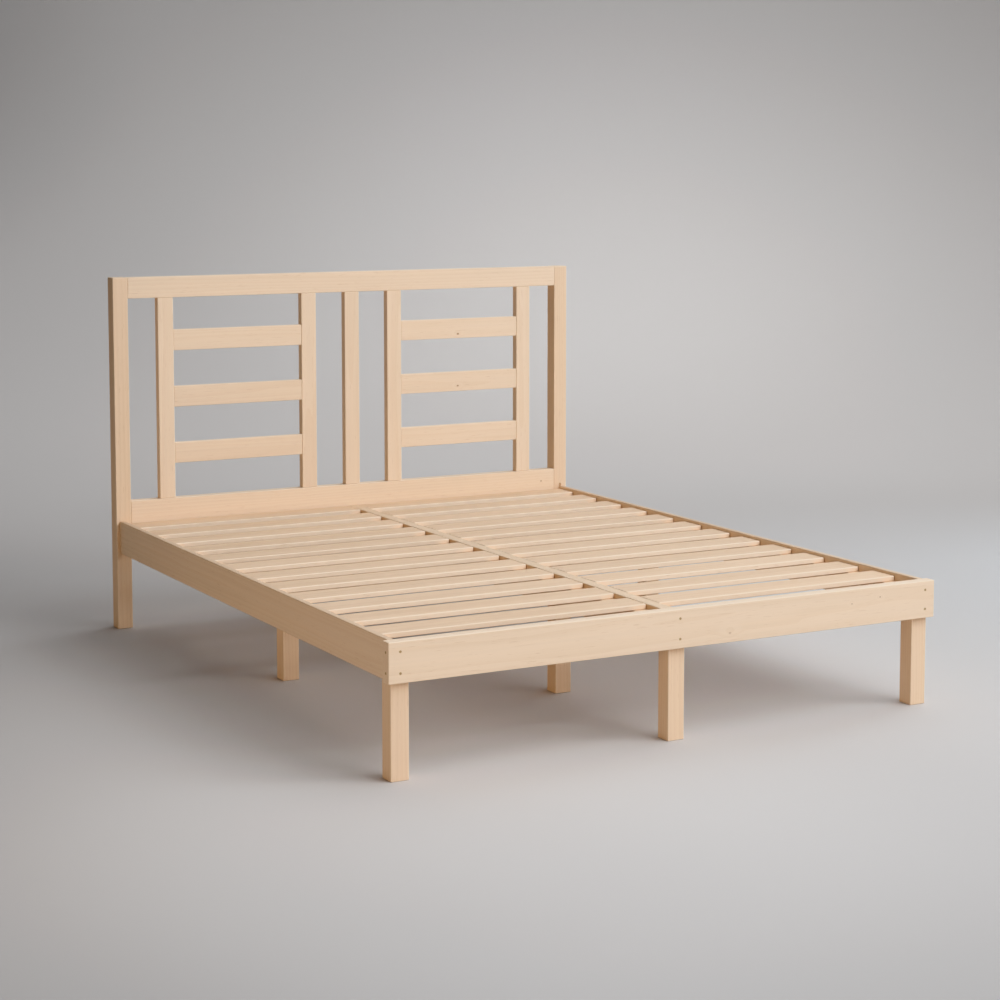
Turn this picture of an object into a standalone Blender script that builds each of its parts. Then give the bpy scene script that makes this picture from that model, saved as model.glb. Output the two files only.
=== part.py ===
"""Pine bed frame for a 1600 by 2000 mm mattress: open headboard, slatted base on rails, beam and legs.

Lengths are in metres, +Z is up. The origin lies on the floor under the middle of the frame.
The foot end faces -Y, the headboard stands at +Y, and X runs across the bed.
"""

import math

import bmesh
import bpy
from mathutils import Vector

# Mattress and heights

MATTRESS_WIDTH = 1.600
MATTRESS_LENGTH = 2.000
MATTRESS_SIDE_CLEARANCE = 0.010
UNDER_CLEARANCE = 0.248
HEAD_HEIGHT = 1.140

# Fits and edges

FIT_GAP = 0.0003
OVERRUN = 0.002
EDGE_CHAMFER = 0.0015

# Foot rail and side rails

RAIL_HEIGHT = 0.104
FOOT_RAIL_THICKNESS = 0.034
SIDE_RAIL_THICKNESS = 0.018
SIDE_RAIL_INSET = 0.013

# Head posts and head rails

POST_WIDTH = 0.050
POST_DEPTH = 0.050
POST_INSET = 0.002
HEAD_RAIL_THICKNESS = 0.034
TOP_RAIL_HEIGHT = 0.068
LOWER_RAIL_HEIGHT = 0.168
RAIL_TENON_THICKNESS = 0.014
RAIL_TENON_LENGTH = 0.020
RAIL_TENON_TOP_SHOULDER = 0.016
TOP_RAIL_BOTTOM_SHOULDER = 0.012
LOWER_RAIL_BOTTOM_SHOULDER = 0.082

# Head stiles and head slats

STILE_WIDTH = 0.053
STILE_THICKNESS = 0.028
STILE_SETBACK = 0.001
STILE_OUTER_GAP = 0.100
STILE_INNER_GAP = 0.1055
STILE_TENON_SHOULDER = 0.009
STILE_TENON_THICKNESS = 0.012
STILE_TENON_LENGTH = 0.025
HEAD_SLATS_IN_PANEL = 3
HEAD_SLAT_HEIGHT = 0.068
HEAD_SLAT_THICKNESS = 0.018
HEAD_SLAT_SETBACK = 0.001
HEAD_SLAT_LOWER_GAP = 0.114
HEAD_SLAT_UPPER_GAP = 0.105
HEAD_SLAT_TENON_SHOULDER = 0.012
HEAD_SLAT_TENON_THICKNESS = 0.009
HEAD_SLAT_TENON_LENGTH = 0.015

# Bed slats and the ledgers that carry them

SLATS_IN_FIELD = 12
SLAT_DROP = 0.008
SLAT_THICKNESS = 0.014
SLAT_WIDTH = 0.096
SLAT_FOOT_GAP = 0.100
SLAT_HEAD_GAP = 0.008
SLAT_END_CLEARANCE = 0.003
LEDGER_WIDTH = 0.040
LEDGER_HEIGHT = 0.028

# Centre beam and cross bearer

BEAM_WIDTH = 0.036
BEAM_STUB_LENGTH = 0.012
BEAM_STUB_SIDE_SHOULDER = 0.008
BEAM_STUB_TOP_SHOULDER = 0.018
BEARER_THICKNESS = 0.036
BEARER_SLAT = 7
BEARER_SETBACK = 0.008

# Legs

LEG_WIDTH = 0.050
LEG_FRONT_INSET = 0.017
LEG_TONGUE_DROP = 0.012
LEG_TENON_THICKNESS = 0.018
LEG_TENON_WIDTH = 0.020
LEG_TENON_HEIGHT = 0.030
SUPPORT_LEG_FROM_END = 0.218
CENTRE_LEG_FROM_FOOT = 0.630

# Bed bolts and barrel nuts

BOLT_RISE = 0.032
BOLT_RADIUS = 0.003
BOLT_CLEARANCE = 0.0005
BOLT_HEAD_RADIUS = 0.0065
BOLT_HEAD_THICKNESS = 0.003
BOLT_HEAD_SINK = 0.002
BOLT_SOCKET_RADIUS = 0.002
BOLT_SOCKET_DEPTH = 0.002
BOLT_TIP_CHAMFER = 0.001
BOLT_TIP_REACH = 0.010
BOLT_HOLE_SPARE = 0.004
NUT_RADIUS = 0.005
NUT_LENGTH = 0.012
NUT_FROM_RAIL_END = 0.038
ROUND_SIDES = 24

# Places worked out from the sizes above

SIDE_RAIL_INNER_X = MATTRESS_WIDTH / 2 + MATTRESS_SIDE_CLEARANCE
HALF_WIDTH = SIDE_RAIL_INNER_X + SIDE_RAIL_THICKNESS + SIDE_RAIL_INSET
HALF_LENGTH = (FOOT_RAIL_THICKNESS + MATTRESS_LENGTH + POST_DEPTH) / 2
FOOT_FRONT = -HALF_LENGTH
FOOT_BACK = FOOT_FRONT + FOOT_RAIL_THICKNESS
HEAD_FRONT = HALF_LENGTH - POST_DEPTH
HEAD_RAIL_BACK = HEAD_FRONT + HEAD_RAIL_THICKNESS

SIDE_RAIL_OUTER_X = HALF_WIDTH - SIDE_RAIL_INSET
POST_OUTER_X = HALF_WIDTH - POST_INSET
POST_INNER_X = POST_OUTER_X - POST_WIDTH

RAIL_TOP = UNDER_CLEARANCE + RAIL_HEIGHT
SLAT_TOP = RAIL_TOP - SLAT_DROP
SLAT_UNDERSIDE = SLAT_TOP - SLAT_THICKNESS
LEDGER_TOP = SLAT_UNDERSIDE - FIT_GAP
LEDGER_UNDERSIDE = LEDGER_TOP - LEDGER_HEIGHT
LEG_TOP = UNDER_CLEARANCE - FIT_GAP
LOWER_RAIL_TOP = UNDER_CLEARANCE + LOWER_RAIL_HEIGHT
TOP_RAIL_UNDERSIDE = HEAD_HEIGHT - TOP_RAIL_HEIGHT

LEG_FRONT = FOOT_FRONT + LEG_FRONT_INSET
LEG_BACK = LEG_FRONT + LEG_WIDTH
CENTRE_LEG_Y = FOOT_FRONT + CENTRE_LEG_FROM_FOOT
FIRST_SLAT_Y = FOOT_BACK + SLAT_FOOT_GAP
LAST_SLAT_Y = HEAD_FRONT - SLAT_HEAD_GAP - SLAT_WIDTH
SLAT_PITCH = (LAST_SLAT_Y - FIRST_SLAT_Y) / (SLATS_IN_FIELD - 1)
BEARER_Y = FIRST_SLAT_Y + (BEARER_SLAT - 1) * SLAT_PITCH + BEARER_SETBACK + BEARER_THICKNESS / 2

SIDES = {"left": -1, "right": 1}


# Finishes

def finish(name, colour, roughness, metallic):
    """A plain finish: one colour, in linear red, green and blue."""
    material = bpy.data.materials.new(name)
    material.use_nodes = True
    shader = material.node_tree.nodes["Principled BSDF"]
    shader.inputs["Base Color"].default_value = (*colour, 1)
    shader.inputs["Roughness"].default_value = roughness
    shader.inputs["Metallic"].default_value = metallic
    material.diffuse_color = (*colour, 1)
    return material


# Spans and boxes

def centred(middle, size):
    """The span of the given size around a middle."""
    return middle - size / 2, middle + size / 2


def across(side, inner, outer):
    """The X span from inner to outer on one side, -1 for left and 1 for right, lowest first."""
    return tuple(sorted((side * inner, side * outer)))


def block(x_span, y_span, z_span):
    """The lowest and highest corners of a box, from its three spans."""
    low, high = zip(x_span, y_span, z_span)
    return Vector(low), Vector(high)


def grown(box, margin):
    """The same box with every face moved out by a margin."""
    low, high = box
    step = Vector((margin, margin, margin))
    return low - step, high + step


def stretched(box, step):
    """The same box, made longer by a step to one side."""
    low, high = box
    return Vector(map(min, low, low + step)), Vector(map(max, high, high + step))


# Shapes

def clear_scene():
    """Empties the scene."""
    for item in list(bpy.data.objects):
        bpy.data.objects.remove(item)


def add_object(name, mesh, place, frame):
    """Links a mesh into the scene at a place, under the frame's empty."""
    item = bpy.data.objects.new(name, mesh)
    bpy.context.collection.objects.link(item)
    item.parent = frame
    item.location = place
    return item


def box_object(name, box, frame):
    """A closed box with its origin in its middle."""
    low, high = box
    mesh = bpy.data.meshes.new(name)
    shape = bmesh.new()
    bmesh.ops.create_cube(shape, size=1)
    bmesh.ops.scale(shape, vec=high - low, verts=shape.verts)
    shape.to_mesh(mesh)
    shape.free()
    return add_object(name, mesh, (low + high) / 2, frame)


def board(name, box, material, frame):
    """A planed board that fills a box, with its edges eased."""
    item = box_object(name, box, frame)
    item.data.materials.append(material)
    edges = item.modifiers.new("eased edges", "BEVEL")
    edges.width = EDGE_CHAMFER
    edges.segments = 1
    edges.limit_method = "NONE"
    return item


def combine(item, cutter, operation):
    """Adds a hidden shape to an object, or takes it away."""
    cutter.hide_render = True
    cutter.display_type = "WIRE"
    step = item.modifiers.new(cutter.name, "BOOLEAN")
    step.operation = operation
    step.solver = "EXACT"
    step.object = cutter


def add_block(item, name, box):
    """Adds a square block to a board."""
    combine(item, box_object(name, box, item.parent), "UNION")


def cut_block(item, name, box):
    """Cuts a square block out of a board."""
    combine(item, box_object(name, box, item.parent), "DIFFERENCE")


def add_tenon(item, mate, name, tenon, direction):
    """Adds a tenon to one board and cuts its mortise in another.

    The tenon's box starts at the first board's shoulder. The direction in which it enters is a unit vector.
    """
    rooted = stretched(tenon, direction * -OVERRUN)
    add_block(item, name, rooted)
    cut_block(mate, name + "_mortise", grown(rooted, FIT_GAP))


def turned_object(name, profile, start, direction, frame):
    """A closed solid turned about a line from a start, from its profile's radii and heights along the line.

    The profile starts and ends on the line, at radius zero.
    """
    mesh = bpy.data.meshes.new(name)
    shape = bmesh.new()
    turns = [2 * math.pi * step / ROUND_SIDES for step in range(ROUND_SIDES)]
    rings = []
    for radius, height in profile:
        points = [(radius * math.cos(turn), radius * math.sin(turn), height) for turn in turns]
        rings.append([shape.verts.new(point) for point in (points if radius else points[:1])])
    for ring, following in zip(rings, rings[1:]):
        for step in range(ROUND_SIDES):
            after = (step + 1) % ROUND_SIDES
            corners = [ring[step % len(ring)], ring[after % len(ring)]]
            corners += [following[after % len(following)], following[step % len(following)]]
            shape.faces.new(list(dict.fromkeys(corners)))
    bmesh.ops.recalc_face_normals(shape, faces=shape.faces)
    shape.to_mesh(mesh)
    shape.free()
    mesh.shade_smooth()
    mesh.set_sharp_from_angle(angle=math.radians(35))
    item = add_object(name, mesh, start, frame)
    item.rotation_mode = "QUATERNION"
    item.rotation_quaternion = direction.to_track_quat("Z", "Y")
    return item


def rod_object(name, radius, start, end, frame):
    """A plain round rod from one point to another."""
    run = end - start
    profile = [(0, 0), (radius, 0), (radius, run.length), (0, run.length)]
    return turned_object(name, profile, start, run, frame)


def drill(item, name, radius, start, end):
    """Drills a round hole from one point to another."""
    combine(item, rod_object(name, radius, start, end, item.parent), "DIFFERENCE")


# Headboard

def head_posts(wood, frame):
    """Two posts from the floor to the top of the headboard."""
    posts = {}
    for name, side in SIDES.items():
        box = block(across(side, POST_INNER_X, POST_OUTER_X), (HEAD_FRONT, HALF_LENGTH), (0, HEAD_HEIGHT))
        posts[name] = board("head_post_" + name, box, wood, frame)
    return posts


def head_rail(name, underside, top, bottom_shoulder, posts, wood, frame):
    """A rail between the posts, flush with their front faces, with a tenon into each."""
    half_span = POST_INNER_X - FIT_GAP
    box = block((-half_span, half_span), (HEAD_FRONT, HEAD_RAIL_BACK), (underside, top))
    rail = board(name, box, wood, frame)
    y_span = centred((HEAD_FRONT + HEAD_RAIL_BACK) / 2, RAIL_TENON_THICKNESS)
    z_span = (underside + bottom_shoulder, top - RAIL_TENON_TOP_SHOULDER)
    for side_name, side in SIDES.items():
        tenon = block(across(side, half_span, half_span + RAIL_TENON_LENGTH), y_span, z_span)
        add_tenon(rail, posts[side_name], f"{name}_tenon_{side_name}", tenon, Vector((side, 0, 0)))
    return rail


def stile_places():
    """Each stile's name and the X of its middle, from left to right."""
    outer = POST_INNER_X - STILE_OUTER_GAP - STILE_WIDTH / 2
    inner = STILE_WIDTH + STILE_INNER_GAP
    return {
        "head_stile_outer_left": -outer,
        "head_stile_inner_left": -inner,
        "head_stile_centre": 0,
        "head_stile_inner_right": inner,
        "head_stile_outer_right": outer,
    }


def head_stiles(top_rail, lower_rail, wood, frame):
    """Five stiles between the head rails, tenoned at both ends."""
    front = HEAD_FRONT + STILE_SETBACK
    y_span = (front, front + STILE_THICKNESS)
    tenon_y = centred(front + STILE_THICKNESS / 2, STILE_TENON_THICKNESS)
    foot = LOWER_RAIL_TOP + FIT_GAP
    top = TOP_RAIL_UNDERSIDE - FIT_GAP
    stiles = {}
    for name, middle in stile_places().items():
        stile = board(name, block(centred(middle, STILE_WIDTH), y_span, (foot, top)), wood, frame)
        tenon_x = centred(middle, STILE_WIDTH - 2 * STILE_TENON_SHOULDER)
        upper = block(tenon_x, tenon_y, (top, top + STILE_TENON_LENGTH))
        lower = block(tenon_x, tenon_y, (foot - STILE_TENON_LENGTH, foot))
        add_tenon(stile, top_rail, name + "_top_tenon", upper, Vector((0, 0, 1)))
        add_tenon(stile, lower_rail, name + "_foot_tenon", lower, Vector((0, 0, -1)))
        stiles[name] = stile
    return stiles


def head_slat_undersides():
    """The heights of the slats' undersides in a panel, evenly spaced between the lowest and the highest."""
    lowest = LOWER_RAIL_TOP + HEAD_SLAT_LOWER_GAP
    highest = TOP_RAIL_UNDERSIDE - HEAD_SLAT_UPPER_GAP - HEAD_SLAT_HEIGHT
    pitch = (highest - lowest) / (HEAD_SLATS_IN_PANEL - 1)
    return [lowest + number * pitch for number in range(HEAD_SLATS_IN_PANEL)]


def head_slat(name, left_stile, right_stile, underside, wood, frame):
    """A level slat between two stiles, with a tenon into each."""
    places = stile_places()
    left_end = places[left_stile.name] + STILE_WIDTH / 2 + FIT_GAP
    right_end = places[right_stile.name] - STILE_WIDTH / 2 - FIT_GAP
    front = HEAD_FRONT + STILE_SETBACK + HEAD_SLAT_SETBACK
    top = underside + HEAD_SLAT_HEIGHT
    box = block((left_end, right_end), (front, front + HEAD_SLAT_THICKNESS), (underside, top))
    slat = board(name, box, wood, frame)
    tenon_y = centred(front + HEAD_SLAT_THICKNESS / 2, HEAD_SLAT_TENON_THICKNESS)
    tenon_z = (underside + HEAD_SLAT_TENON_SHOULDER, top - HEAD_SLAT_TENON_SHOULDER)
    left = block((left_end - HEAD_SLAT_TENON_LENGTH, left_end), tenon_y, tenon_z)
    right = block((right_end, right_end + HEAD_SLAT_TENON_LENGTH), tenon_y, tenon_z)
    add_tenon(slat, left_stile, name + "_left_tenon", left, Vector((-1, 0, 0)))
    add_tenon(slat, right_stile, name + "_right_tenon", right, Vector((1, 0, 0)))


def head_slats(stiles, wood, frame):
    """The slats of the left and the right panel, counted from the lowest."""
    panels = {
        "left": (stiles["head_stile_outer_left"], stiles["head_stile_inner_left"]),
        "right": (stiles["head_stile_inner_right"], stiles["head_stile_outer_right"]),
    }
    for panel, (left_stile, right_stile) in panels.items():
        for number, underside in enumerate(head_slat_undersides(), start=1):
            head_slat(f"head_slat_{panel}_{number}", left_stile, right_stile, underside, wood, frame)


# Rails, beam and bearer

def foot_rail(wood, frame):
    """The rail across the foot, which covers the ends of the side rails."""
    box = block((-HALF_WIDTH, HALF_WIDTH), (FOOT_FRONT, FOOT_BACK), (UNDER_CLEARANCE, RAIL_TOP))
    return board("foot_rail", box, wood, frame)


def side_rails(wood, frame):
    """Two rails from the foot rail to the head posts."""
    y_span = (FOOT_BACK + FIT_GAP, HEAD_FRONT - FIT_GAP)
    rails = {}
    for name, side in SIDES.items():
        box = block(across(side, SIDE_RAIL_INNER_X, SIDE_RAIL_OUTER_X), y_span, (UNDER_CLEARANCE, RAIL_TOP))
        rails[name] = board("side_rail_" + name, box, wood, frame)
    return rails


def centre_beam(lower_rail, wood, frame):
    """The lengthwise beam between the two fields of slats, with a stub tenon into the head lower rail."""
    head_end = HEAD_FRONT - FIT_GAP
    x_span = centred(0, BEAM_WIDTH)
    box = block(x_span, (FOOT_BACK + FIT_GAP, head_end), (UNDER_CLEARANCE, SLAT_TOP))
    beam = board("centre_beam", box, wood, frame)
    stub = block(centred(0, BEAM_WIDTH - 2 * BEAM_STUB_SIDE_SHOULDER),
                 (head_end, head_end + BEAM_STUB_LENGTH),
                 (UNDER_CLEARANCE + BEAM_STUB_TOP_SHOULDER, SLAT_TOP - BEAM_STUB_TOP_SHOULDER))
    add_tenon(beam, lower_rail, "beam_stub", stub, Vector((0, 1, 0)))
    return beam


def cross_bearer(beam, wood, frame):
    """The bearer across the frame under one slat of each field, notched for the ledgers and the beam."""
    half_span = SIDE_RAIL_INNER_X - FIT_GAP
    y_span = centred(BEARER_Y, BEARER_THICKNESS)
    box = block((-half_span, half_span), y_span, (UNDER_CLEARANCE, LEDGER_TOP))
    bearer = board("cross_bearer", box, wood, frame)
    notch_y = centred(BEARER_Y, BEARER_THICKNESS + 2 * OVERRUN)
    notch_z = (LEDGER_UNDERSIDE - FIT_GAP, LEDGER_TOP + OVERRUN)
    ledger_room = FIT_GAP + LEDGER_WIDTH + FIT_GAP
    middle_room = 2 * (BEAM_WIDTH / 2 + ledger_room)
    cut_block(bearer, "bearer_middle_notch", block(centred(0, middle_room), notch_y, notch_z))
    for name, side in SIDES.items():
        end_x = across(side, SIDE_RAIL_INNER_X - ledger_room, half_span + OVERRUN)
        cut_block(bearer, "bearer_end_notch_" + name, block(end_x, notch_y, notch_z))
    lap = block(centred(0, BEAM_WIDTH + 2 * OVERRUN), centred(BEARER_Y, BEARER_THICKNESS + 2 * FIT_GAP),
                (UNDER_CLEARANCE - OVERRUN, LEDGER_UNDERSIDE))
    cut_block(beam, "beam_lap", lap)
    return bearer


# Ledgers and bed slats

def ledgers(wood, frame):
    """Battens along the side rails and the beam, which the slat ends lie on."""
    head_end = HEAD_FRONT - FIT_GAP
    z_span = (LEDGER_UNDERSIDE, LEDGER_TOP)
    outer = SIDE_RAIL_INNER_X - FIT_GAP
    inner = BEAM_WIDTH / 2 + FIT_GAP
    for name, side in SIDES.items():
        by_rail = block(across(side, outer - LEDGER_WIDTH, outer), (LEG_BACK + FIT_GAP, head_end), z_span)
        by_beam = block(across(side, inner, inner + LEDGER_WIDTH), (FOOT_BACK + FIT_GAP, head_end), z_span)
        board("side_ledger_" + name, by_rail, wood, frame)
        board("beam_ledger_" + name, by_beam, wood, frame)


def bed_slats(wood, frame):
    """Two fields of slats, counted from the foot, on the ledgers between the beam and the side rails."""
    inner = BEAM_WIDTH / 2 + SLAT_END_CLEARANCE
    outer = SIDE_RAIL_INNER_X - SLAT_END_CLEARANCE
    for field, side in SIDES.items():
        for number in range(SLATS_IN_FIELD):
            start = FIRST_SLAT_Y + number * SLAT_PITCH
            box = block(across(side, inner, outer), (start, start + SLAT_WIDTH), (SLAT_UNDERSIDE, SLAT_TOP))
            board(f"bed_slat_{field}_{number + 1:02d}", box, wood, frame)


# Legs

def foot_corner_legs(wood, frame):
    """Legs under the two foot corners, each with a tongue that rises inside both rails."""
    inner = SIDE_RAIL_OUTER_X - LEG_WIDTH
    tongue_y = (FOOT_BACK + FIT_GAP, LEG_BACK - EDGE_CHAMFER)
    tongue_z = (LEG_TOP - OVERRUN, SLAT_UNDERSIDE - LEG_TONGUE_DROP)
    for name, side in SIDES.items():
        box = block(across(side, inner, SIDE_RAIL_OUTER_X), (LEG_FRONT, LEG_BACK), (0, LEG_TOP))
        leg = board("foot_leg_" + name, box, wood, frame)
        tongue_x = across(side, inner + EDGE_CHAMFER, SIDE_RAIL_INNER_X - FIT_GAP)
        add_block(leg, "foot_leg_tongue_" + name, block(tongue_x, tongue_y, tongue_z))


def tenoned_leg(name, middle, tenon_y, tenon_size, carried, wood, frame):
    """A square leg with a tenon up into the member that it carries.

    The middle is the leg's X and Y, tenon_y the middle of its tenon, and tenon_size the tenon's two widths.
    """
    x, y = middle
    leg = board(name, block(centred(x, LEG_WIDTH), centred(y, LEG_WIDTH), (0, LEG_TOP)), wood, frame)
    tenon_z = (LEG_TOP, LEG_TOP + LEG_TENON_HEIGHT)
    tenon = block(centred(x, tenon_size[0]), centred(tenon_y, tenon_size[1]), tenon_z)
    add_tenon(leg, carried, name + "_tenon", tenon, Vector((0, 0, 1)))


def middle_legs(beam, bearer, wood, frame):
    """The legs under the centre beam and the cross bearer."""
    along_beam = (LEG_TENON_THICKNESS, LEG_TENON_WIDTH)
    along_bearer = (LEG_TENON_WIDTH, LEG_TENON_THICKNESS)
    foot_leg = (0, (LEG_FRONT + LEG_BACK) / 2)
    behind_rail = (FOOT_BACK + LEG_BACK) / 2
    tenoned_leg("foot_leg_centre", foot_leg, behind_rail, along_beam, beam, wood, frame)
    tenoned_leg("support_leg_centre", (0, CENTRE_LEG_Y), CENTRE_LEG_Y, along_beam, beam, wood, frame)
    for name, side in SIDES.items():
        place = (side * (HALF_WIDTH - SUPPORT_LEG_FROM_END), BEARER_Y)
        tenoned_leg("support_leg_" + name, place, BEARER_Y, along_bearer, bearer, wood, frame)


# Bed bolts

def bed_bolt(name, head_seat, tip, post, rail, steel, frame):
    """A bolt from its seat in the back of a post to its tip in the rail, with the holes that it passes."""
    shank = tip - head_seat
    forward = shank.normalized()
    head_back = -BOLT_HEAD_THICKNESS
    profile = [
        (0, head_back + BOLT_SOCKET_DEPTH),
        (BOLT_SOCKET_RADIUS, head_back + BOLT_SOCKET_DEPTH),
        (BOLT_SOCKET_RADIUS, head_back),
        (BOLT_HEAD_RADIUS, head_back),
        (BOLT_HEAD_RADIUS, 0),
        (BOLT_RADIUS, 0),
        (BOLT_RADIUS, shank.length - BOLT_TIP_CHAMFER),
        (BOLT_RADIUS - BOLT_TIP_CHAMFER, shank.length),
        (0, shank.length),
    ]
    bolt = turned_object("bed_bolt_" + name, profile, head_seat, shank, frame)
    bolt.data.materials.append(steel)
    hole_radius = BOLT_RADIUS + BOLT_CLEARANCE
    hole_end = tip + forward * BOLT_HOLE_SPARE
    head_room = BOLT_HEAD_THICKNESS + BOLT_HEAD_SINK + OVERRUN
    drill(post, "post_bolt_hole_" + name, hole_radius, head_seat - forward * OVERRUN, hole_end)
    drill(post, "bolt_head_recess_" + name, BOLT_HEAD_RADIUS + BOLT_CLEARANCE,
          head_seat - forward * head_room, head_seat + forward * FIT_GAP)
    drill(rail, "rail_bolt_hole_" + name, hole_radius, head_seat, hole_end)


def barrel_nut(name, middle, side, rail, steel, frame):
    """A cross nut in the rail, with its pocket open to the inside of the bed and a hole for the bolt."""
    outward = Vector((side, 0, 0))
    inner_end = middle - outward * NUT_LENGTH / 2
    outer_end = middle + outward * NUT_LENGTH / 2
    nut = rod_object("barrel_nut_" + name, NUT_RADIUS, inner_end, outer_end, frame)
    nut.data.materials.append(steel)
    past_nut = Vector((0, NUT_RADIUS + OVERRUN, 0))
    drill(nut, "nut_hole_" + name, BOLT_RADIUS + FIT_GAP, middle - past_nut, middle + past_nut)
    mouth = Vector((side * (SIDE_RAIL_INNER_X - OVERRUN), middle.y, middle.z))
    drill(rail, "nut_pocket_" + name, NUT_RADIUS + FIT_GAP, mouth, outer_end + outward * FIT_GAP)


def rail_fixings(posts, rails, steel, frame):
    """A bolt and a barrel nut for each side rail, at the head post."""
    height = UNDER_CLEARANCE + BOLT_RISE
    seat_y = HALF_LENGTH - BOLT_HEAD_SINK - BOLT_HEAD_THICKNESS
    nut_y = HEAD_FRONT - FIT_GAP - NUT_FROM_RAIL_END
    for name, side in SIDES.items():
        x = side * (SIDE_RAIL_INNER_X + SIDE_RAIL_THICKNESS / 2)
        head_seat = Vector((x, seat_y, height))
        tip = Vector((x, nut_y - BOLT_TIP_REACH, height))
        bed_bolt(name, head_seat, tip, posts[name], rails[name], steel, frame)
        barrel_nut(name, Vector((x, nut_y, height)), side, rails[name], steel, frame)


def build():
    """Makes the whole bed frame."""
    clear_scene()
    frame = bpy.data.objects.new("bed_frame", None)
    bpy.context.collection.objects.link(frame)
    wood = finish("planed_pine", (0.76, 0.59, 0.41), roughness=0.55, metallic=0)
    slat_wood = finish("slat_pine", (0.71, 0.53, 0.35), roughness=0.6, metallic=0)
    steel = finish("zinc_plated_steel", (0.62, 0.62, 0.60), roughness=0.35, metallic=1)

    posts = head_posts(wood, frame)
    top_rail = head_rail("head_top_rail", TOP_RAIL_UNDERSIDE, HEAD_HEIGHT, TOP_RAIL_BOTTOM_SHOULDER,
                         posts, wood, frame)
    lower_rail = head_rail("head_lower_rail", UNDER_CLEARANCE, LOWER_RAIL_TOP, LOWER_RAIL_BOTTOM_SHOULDER,
                           posts, wood, frame)
    stiles = head_stiles(top_rail, lower_rail, wood, frame)
    head_slats(stiles, wood, frame)

    foot_rail(wood, frame)
    rails = side_rails(wood, frame)
    beam = centre_beam(lower_rail, wood, frame)
    bearer = cross_bearer(beam, slat_wood, frame)
    ledgers(slat_wood, frame)
    bed_slats(slat_wood, frame)

    foot_corner_legs(wood, frame)
    middle_legs(beam, bearer, wood, frame)
    rail_fixings(posts, rails, steel, frame)


build()
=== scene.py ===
"""Looks of the pine bed frame: each piece gets its finish, and camera and light follow the photograph.

Lengths are in metres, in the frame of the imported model: the origin lies on the floor under the middle
of the bed, the foot end faces -Y, the headboard stands at +Y, and X runs across.
"""

from __future__ import annotations

import logging
import math
import random
from dataclasses import dataclass, field
from enum import Enum
from functools import cache, partial
from typing import Any

import bmesh
import bpy
import numpy as np
from bpy.types import ID, Material, Mesh, Node, NodeSocket, Object
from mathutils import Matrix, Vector

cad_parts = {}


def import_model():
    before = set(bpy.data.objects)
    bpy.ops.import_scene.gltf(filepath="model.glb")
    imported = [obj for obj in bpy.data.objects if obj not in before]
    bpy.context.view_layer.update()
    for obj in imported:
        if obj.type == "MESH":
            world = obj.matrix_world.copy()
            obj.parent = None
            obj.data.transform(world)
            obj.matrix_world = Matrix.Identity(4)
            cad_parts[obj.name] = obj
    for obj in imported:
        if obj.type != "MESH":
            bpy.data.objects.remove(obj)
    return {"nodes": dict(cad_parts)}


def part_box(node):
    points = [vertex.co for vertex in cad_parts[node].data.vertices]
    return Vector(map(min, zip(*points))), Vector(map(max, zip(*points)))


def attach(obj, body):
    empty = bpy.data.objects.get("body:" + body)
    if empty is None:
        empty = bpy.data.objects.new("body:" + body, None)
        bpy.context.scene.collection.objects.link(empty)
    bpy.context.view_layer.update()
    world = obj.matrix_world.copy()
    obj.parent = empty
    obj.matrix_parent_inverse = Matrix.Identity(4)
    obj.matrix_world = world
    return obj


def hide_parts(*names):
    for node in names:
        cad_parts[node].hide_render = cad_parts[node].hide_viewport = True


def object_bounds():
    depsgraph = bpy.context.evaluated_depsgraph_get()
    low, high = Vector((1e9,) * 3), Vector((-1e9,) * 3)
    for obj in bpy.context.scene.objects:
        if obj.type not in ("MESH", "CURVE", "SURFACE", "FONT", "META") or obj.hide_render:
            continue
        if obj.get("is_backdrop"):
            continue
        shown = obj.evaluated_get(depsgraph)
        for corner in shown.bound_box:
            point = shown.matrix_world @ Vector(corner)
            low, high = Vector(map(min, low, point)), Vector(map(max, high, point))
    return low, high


Point = tuple[float, float, float]
Span = tuple[float, float]

log = logging.getLogger("pine_bed_frame")

# Attributes that the boards and screws carry.
GRAIN_PLACE = "grain_place"
BOARD_TONE = "board_tone"
BOARD_NUMBER = "board_number"
# A mark on rounded edges and chosen flat faces, which the pine finish paints with a highlight, and with
# shade on the side rails.
SANDED_EDGE = "sanded_edge"
FACING = "facing"

# How meshes are joined, and how their faces and edges are told apart.
MERGE_DISTANCE = 1e-5
SAME_FACE_ANGLE = math.radians(0.5)
SHARP_ANGLE = math.radians(30)
SQUARE_ON = 0.99

# Each board starts somewhere along this many metres of pattern, so that no two look alike.
LOG_LENGTH = 30

# The wave texture counts this many radians along each unit of its scale.
WAVE_RADIANS = 20


# Colours and nodes

def linear(hex_colour: str) -> tuple[float, float, float, float]:
    """Turns an sRGB colour into linear light.

    Args:
        hex_colour: the colour as six hex digits after a hash.

    Returns:
        Linear red, green and blue, and an alpha of one.
    """
    levels = [int(hex_colour[start:start + 2], 16) / 255 for start in (1, 3, 5)]
    red, green, blue = (v / 12.92 if v <= 0.04045 else ((v + 0.055) / 1.055) ** 2.4 for v in levels)
    return red, green, blue, 1.0


def set_inputs(node: Node, inputs: dict[Any, Any]) -> None:
    """Sets a node's inputs.

    Args:
        node: the node.
        inputs: for each input's name or number, a value, or the socket that feeds it.
    """
    for key, value in inputs.items():
        if isinstance(value, NodeSocket):
            node.id_data.links.new(value, node.inputs[key])
        else:
            node.inputs[key].default_value = value


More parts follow.
